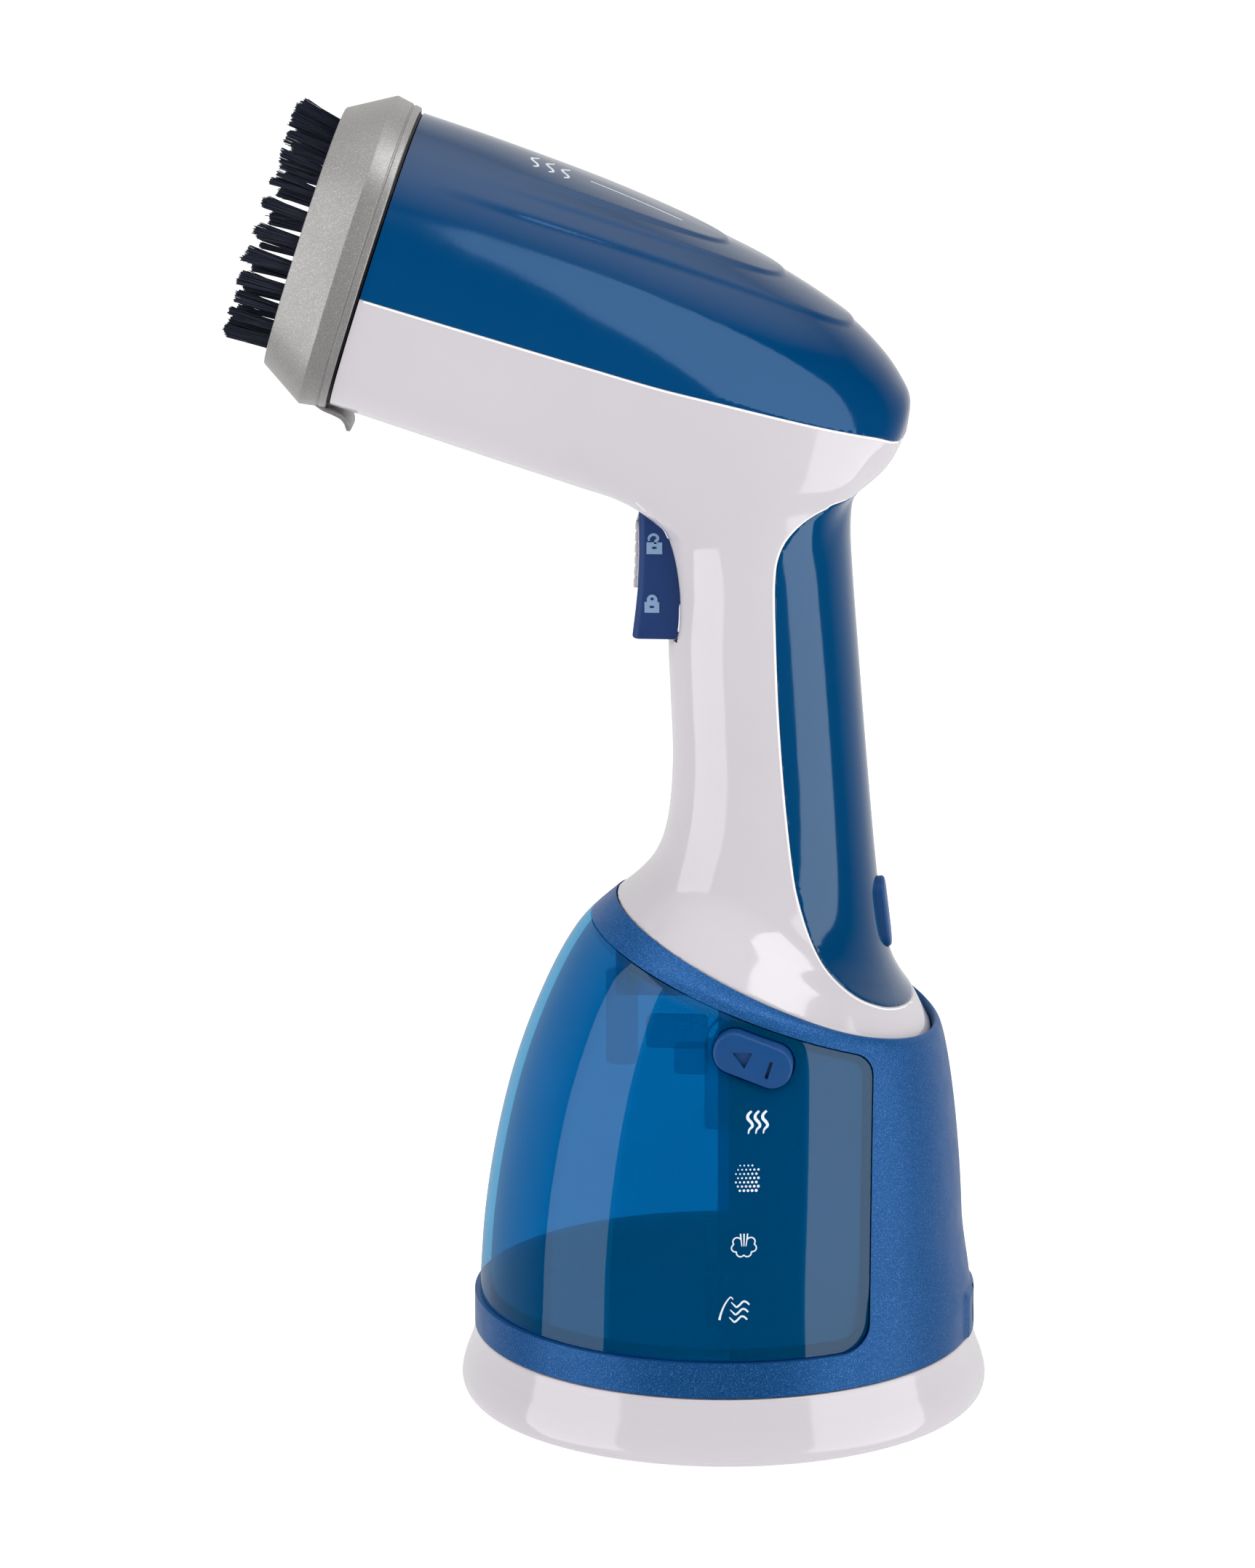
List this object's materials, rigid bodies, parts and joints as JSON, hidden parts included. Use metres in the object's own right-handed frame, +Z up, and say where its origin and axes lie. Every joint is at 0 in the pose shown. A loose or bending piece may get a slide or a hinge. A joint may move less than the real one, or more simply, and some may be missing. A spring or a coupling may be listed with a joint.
{
  "type": "handheld steamer",
  "caption": "Handheld garment steamer with a tilted head, bristle brush attachment, trigger grip and pull-off water tank in a round base.",
  "frame": {"origin": "centre of the round foot's underside, on the surface that the steamer stands on", "axes": "+Z up, -X towards the steam head's nose, +X towards the rear of the grip, Y across the body"},
  "size_m": [0.1722, 0.12, 0.299],
  "materials": {
    "gloss_white": "gloss",
    "gloss_blue": "gloss",
    "satin_blue": "satin metallic",
    "trigger_blue": "matt",
    "clear_blue": "translucent gloss",
    "dark_plastic": "matt",
    "grey_plastic": "matt",
    "silver_plastic": "satin with fine flecks",
    "black_plastic": "matt",
    "rubber": "matt",
    "bristle": "nylon",
    "cast_aluminium": "cast",
    "steel": "bright",
    "silicone_hose": "satin",
    "board_green": "satin",
    "silicone_seal": "matt"
  },
  "bodies": {
    "body": {"housing_left": "gloss_white", "housing_right": "gloss_white", "head_top_cover": "gloss_blue", "rear_grip_cover": "gloss_blue", "base_shell": "satin_blue", "base_ring": "gloss_white", "foot_pad": "rubber", "bottom_cover": "black_plastic", "base_screw_1": "steel", "base_screw_2": "steel", "base_screw_3": "steel", "cord_gland": "rubber", "inner_frame": "dark_plastic", "pump": "grey_plastic", "supply_hose": "silicone_hose", "feed_hose": "silicone_hose", "circuit_board": "board_green", "valve_seal": "silicone_seal", "boiler": "cast_aluminium", "steam_plate": "cast_aluminium", "plate_gasket": "black_plastic", "thermostat": "silicone_seal", "thermal_fuse": "grey_plastic", "plate_screw_1": "steel", "plate_screw_2": "steel", "trigger_pin": "steel", "trigger_spring": "steel", "microswitch": "black_plastic", "power_switch": "grey_plastic"},
    "tank": {"water_tank": "clear_blue", "tank_valve": "grey_plastic", "release_spring_left": "steel", "release_spring_right": "steel"},
    "cap": {"tank_cap": "satin_blue", "cap_seal": "rubber"},
    "button_left": {"release_button_left": "satin_blue"},
    "button_right": {"release_button_right": "satin_blue"},
    "brush": {"brush_frame": "silver_plastic", "bristle_ring": "bristle", "latch_pin": "steel"},
    "latch": {"brush_latch": "silver_plastic"},
    "trigger": {"trigger": "trigger_blue"},
    "lock": {"trigger_lock": "gloss_white"},
    "power": {"power_button": "satin_blue"}
  },
  "joints": [
    {"name": "tank_pull", "type": "slide", "parent": "body", "child": "tank", "axis": [-1, 0, 0], "range_m": [0, 0.075]},
    {"name": "cap_lift", "type": "slide", "parent": "tank", "child": "cap", "axis": [0, 0, 1], "range_m": [0, 0.0075]},
    {"name": "press_left", "type": "slide", "parent": "tank", "child": "button_left", "axis": [0, 1, 0], "range_m": [0, 0.0018], "stiffness_N_per_m": 400, "springref_m": -0.002},
    {"name": "press_right", "type": "slide", "parent": "tank", "child": "button_right", "axis": [0, -1, 0], "range_m": [0, 0.0018], "stiffness_N_per_m": 400, "springref_m": -0.002},
    {"name": "brush_pull", "type": "slide", "parent": "body", "child": "brush", "axis": [-0.9532, 0, 0.3024], "range_m": [0, 0.04]},
    {"name": "latch_flex", "type": "hinge", "parent": "brush", "child": "latch", "pos_m": [-0.09235, 0, 0.23169], "axis": [0, 1, 0], "range_deg": [0, 12], "stiffness_Nm_per_rad": 0.05, "springref_deg": -5.73},
    {"name": "trigger_pull", "type": "hinge", "parent": "body", "child": "trigger", "pos_m": [-0.01, 0, 0.212], "axis": [0, -1, 0], "range_deg": [0, 6], "stiffness_Nm_per_rad": 0.5, "springref_deg": -5.73},
    {"name": "lock_slide", "type": "slide", "parent": "trigger", "child": "lock", "axis": [0, 0, -1], "range_m": [0, 0.0055]},
    {"name": "power_press", "type": "slide", "parent": "body", "child": "power", "axis": [-0.9923, 0, -0.1236], "range_m": [0, 0.0015], "stiffness_N_per_m": 400, "springref_m": -0.002}
  ]
}
